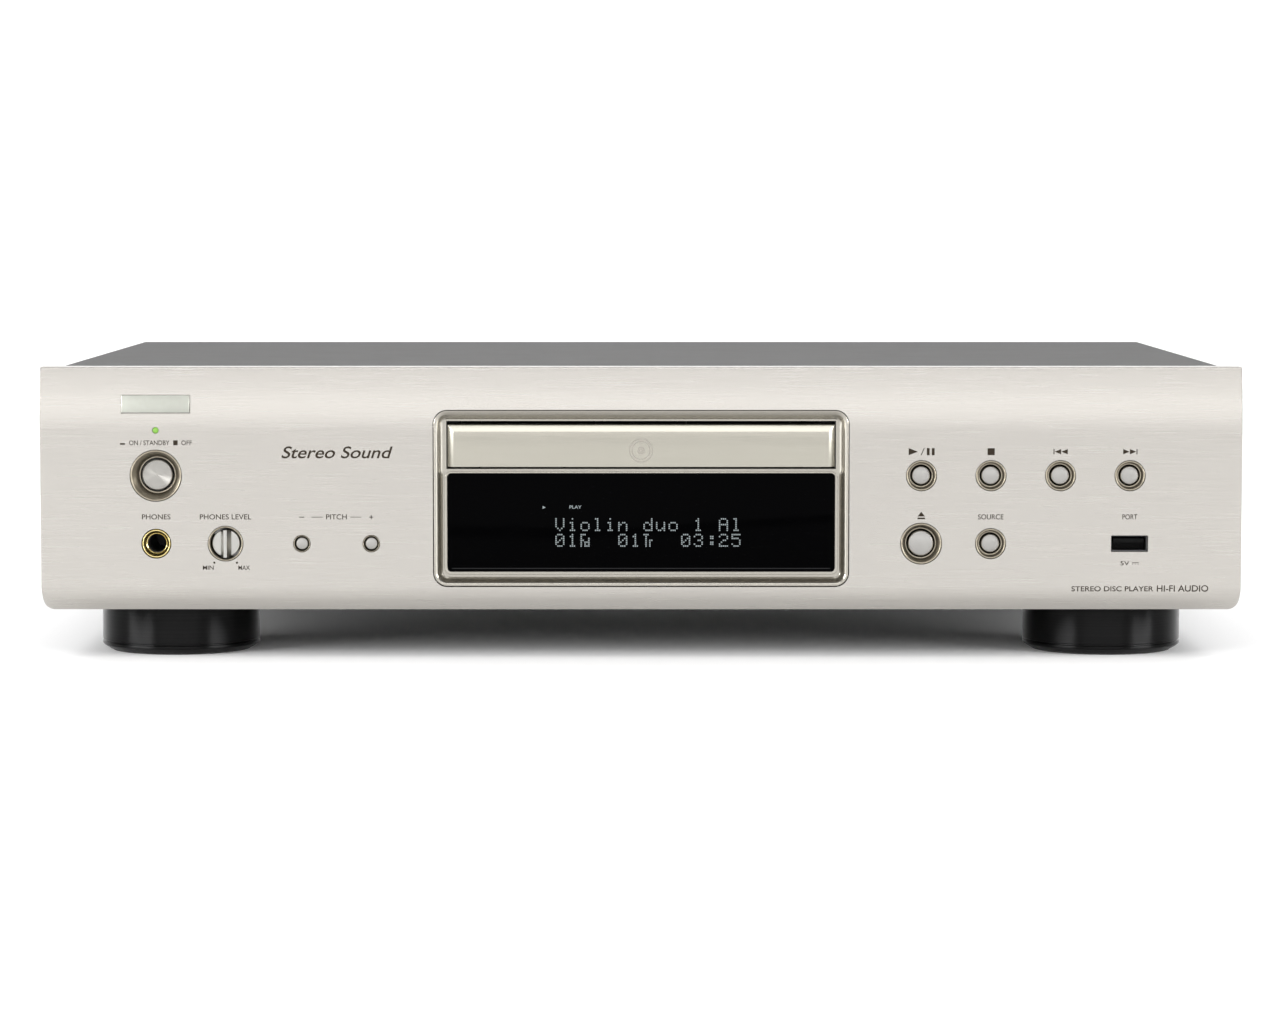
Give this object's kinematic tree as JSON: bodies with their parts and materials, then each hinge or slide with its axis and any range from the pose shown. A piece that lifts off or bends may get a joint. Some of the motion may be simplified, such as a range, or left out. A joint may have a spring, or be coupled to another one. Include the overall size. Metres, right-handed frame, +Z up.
{
  "type": "cd player",
  "caption": "Low, wide hi-fi disc player: brushed front panel, central tray above a dark display window, round buttons, level knob, phones jack, four drum feet.",
  "frame": {"origin": "on the table, under the middle of the whole player's box", "axes": "+X to the right seen from the front, +Y to the rear, +Z up; the front panel faces -Y"},
  "size_m": [0.434, 0.279, 0.107],
  "materials": {
    "champagne_panel": "fine horizontal brushing, clear anodised",
    "champagne_plastic": "satin metallic paint",
    "ring_metal": "satin",
    "button_metal": "satin, domed",
    "badge_metal": "polished",
    "window_black": "high gloss, tinted",
    "lamp_green": "translucent",
    "cover_paint": "fine satin powder coat",
    "zinc_steel": "zinc plated sheet",
    "black_plastic": "moulded, fine grain",
    "foot_gloss": "gloss",
    "foot_rubber": "matt",
    "screw_steel": "blackened",
    "gold_plate": "gold plated",
    "white_plastic": "moulded acetal",
    "connector_steel": "nickel plated",
    "board_green": "solder mask",
    "parts_black": "moulded components",
    "display_glass": "vacuum display",
    "cable_white": "flexible flat cable",
    "belt_rubber": "matt",
    "deck_grey": "moulded, glass filled",
    "lens_glass": "coated lens"
  },
  "bodies": {
    "root": {"chassis_base": "zinc_steel", "rear_panel": "zinc_steel", "top_cover": "cover_paint", "front_panel": "champagne_panel", "sub_panel": "black_plastic", "window_bezel": "champagne_plastic", "display_window": "window_black", "badge_plate": "badge_metal", "power_led": "lamp_green", "control_rings": "ring_metal", "headphone_jack": "black_plastic", "headphone_jack_nut": "gold_plate", "usb_socket": "connector_steel", "display_tube": "display_glass", "front_boards": "board_green", "tact_switches": "black_plastic", "level_potentiometer": "connector_steel", "power_switch": "white_plastic", "foot_cups": "foot_gloss", "foot_pads": "foot_rubber", "foot_screws": "screw_steel", "case_screws": "screw_steel", "power_inlet": "black_plastic", "rca_jack_shells": "gold_plate", "rca_jack_block": "white_plastic", "optical_jack": "black_plastic", "remote_jacks": "black_plastic", "transformer": "connector_steel", "power_board": "board_green", "main_board": "board_green", "main_board_parts": "parts_black", "ribbon_cables": "cable_white", "loader_frame": "black_plastic", "clamper_bridge": "zinc_steel", "loader_motor": "connector_steel", "drive_belt": "belt_rubber"},
    "tray": {"disc_tray": "black_plastic", "tray_door": "champagne_plastic"},
    "motor_pulley": {"motor_pulley": "white_plastic"},
    "pulley_gear": {"pulley_gear": "white_plastic"},
    "drive_gear": {"drive_gear": "white_plastic"},
    "cam_slider": {"cam_slider": "white_plastic"},
    "deck": {"deck_frame": "deck_grey", "deck_motors": "connector_steel", "guide_rods": "connector_steel"},
    "turntable": {"turntable": "black_plastic"},
    "clamper": {"clamper": "black_plastic"},
    "sled": {"pickup_sled": "deck_grey"},
    "lens": {"objective_lens": "lens_glass"},
    "sled_gear": {"sled_gear": "white_plastic"},
    "power_button": {"power_button": "button_metal"},
    "play_button": {"play_button": "button_metal"},
    "stop_button": {"stop_button": "button_metal"},
    "previous_button": {"previous_button": "button_metal"},
    "next_button": {"next_button": "button_metal"},
    "eject_button": {"eject_button": "button_metal"},
    "source_button": {"source_button": "button_metal"},
    "pitch_down_button": {"pitch_down_button": "button_metal"},
    "pitch_up_button": {"pitch_up_button": "button_metal"},
    "level_knob": {"level_knob": "button_metal"}
  },
  "joints": [
    {"name": "tray_slide", "type": "slide", "parent": "root", "child": "tray", "axis": [0, -1, 0], "range_m": [0, 0.14]},
    {"name": "drive_gear_spin", "type": "hinge", "parent": "root", "child": "drive_gear", "pos_m": [-0.045, -0.094, 0.07], "axis": [0, 0, 1], "range_deg": [0, 895]},
    {"name": "pulley_gear_spin", "type": "hinge", "parent": "root", "child": "pulley_gear", "pos_m": [-0.045, -0.075, 0.066], "axis": [0, 0, 1], "range_deg": [-1935, 0]},
    {"name": "motor_pulley_spin", "type": "hinge", "parent": "root", "child": "motor_pulley", "pos_m": [-0.045, -0.039, 0.064], "axis": [0, 0, 1], "range_deg": [-8270, 0]},
    {"name": "cam_slide", "type": "slide", "parent": "root", "child": "cam_slider", "axis": [1, 0, 0], "range_m": [0, 0.02]},
    {"name": "deck_tilt", "type": "hinge", "parent": "root", "child": "deck", "pos_m": [0, 0.02, 0.06745], "axis": [1, 0, 0], "range_deg": [0, 8]},
    {"name": "turntable_spin", "type": "hinge", "parent": "deck", "child": "turntable", "pos_m": [0, -0.06, 0.08], "axis": [0, 0, 1], "continuous": true},
    {"name": "clamper_spin", "type": "hinge", "parent": "root", "child": "clamper", "pos_m": [0, -0.06, 0.086], "axis": [0, 0, 1], "continuous": true},
    {"name": "sled_slide", "type": "slide", "parent": "deck", "child": "sled", "axis": [0, 1, 0], "range_m": [0, 0.035]},
    {"name": "sled_gear_spin", "type": "hinge", "parent": "deck", "child": "sled_gear", "pos_m": [0.0324, -0.02, 0.071], "axis": [0, 0, 1], "range_deg": [-315, 0]},
    {"name": "lens_focus", "type": "slide", "parent": "sled", "child": "lens", "axis": [0, 0, 1], "range_m": [-0.0004, 0.0004], "stiffness_N_per_m": 60},
    {"name": "power_press", "type": "slide", "parent": "root", "child": "power_button", "axis": [0, 1, 0], "range_m": [-0.003, 0.0008]},
    {"name": "play_press", "type": "slide", "parent": "root", "child": "play_button", "axis": [0, 1, 0], "range_m": [0, 0.0008], "stiffness_N_per_m": 800, "springref_m": -0.001},
    {"name": "stop_press", "type": "slide", "parent": "root", "child": "stop_button", "axis": [0, 1, 0], "range_m": [0, 0.0008], "stiffness_N_per_m": 800, "springref_m": -0.001},
    {"name": "previous_press", "type": "slide", "parent": "root", "child": "previous_button", "axis": [0, 1, 0], "range_m": [0, 0.0008], "stiffness_N_per_m": 800, "springref_m": -0.001},
    {"name": "next_press", "type": "slide", "parent": "root", "child": "next_button", "axis": [0, 1, 0], "range_m": [0, 0.0008], "stiffness_N_per_m": 800, "springref_m": -0.001},
    {"name": "eject_press", "type": "slide", "parent": "root", "child": "eject_button", "axis": [0, 1, 0], "range_m": [0, 0.0008], "stiffness_N_per_m": 800, "springref_m": -0.001},
    {"name": "source_press", "type": "slide", "parent": "root", "child": "source_button", "axis": [0, 1, 0], "range_m": [0, 0.0008], "stiffness_N_per_m": 800, "springref_m": -0.001},
    {"name": "pitch_down_press", "type": "slide", "parent": "root", "child": "pitch_down_button", "axis": [0, 1, 0], "range_m": [0, 0.0008], "stiffness_N_per_m": 800, "springref_m": -0.001},
    {"name": "pitch_up_press", "type": "slide", "parent": "root", "child": "pitch_up_button", "axis": [0, 1, 0], "range_m": [0, 0.0008], "stiffness_N_per_m": 800, "springref_m": -0.001},
    {"name": "level_turn", "type": "hinge", "parent": "root", "child": "level_knob", "pos_m": [-0.1502, -0.135, 0.0432], "axis": [0, 1, 0], "range_deg": [-150, 150]}
  ],
  "couplings": [
    {"joint": "drive_gear_spin", "follows": "tray_slide", "rad_per_m": 111.11},
    {"joint": "pulley_gear_spin", "follows": "tray_slide", "rad_per_m": -240.74},
    {"joint": "motor_pulley_spin", "follows": "tray_slide", "rad_per_m": -1029.8},
    {"joint": "cam_slide", "follows": "tray_slide", "ratio": 0.14286},
    {"joint": "deck_tilt", "follows": "tray_slide", "rad_per_m": 0.99733},
    {"joint": "clamper_spin", "follows": "turntable_spin", "ratio": 1},
    {"joint": "sled_gear_spin", "follows": "sled_slide", "rad_per_m": -156.25}
  ]
}
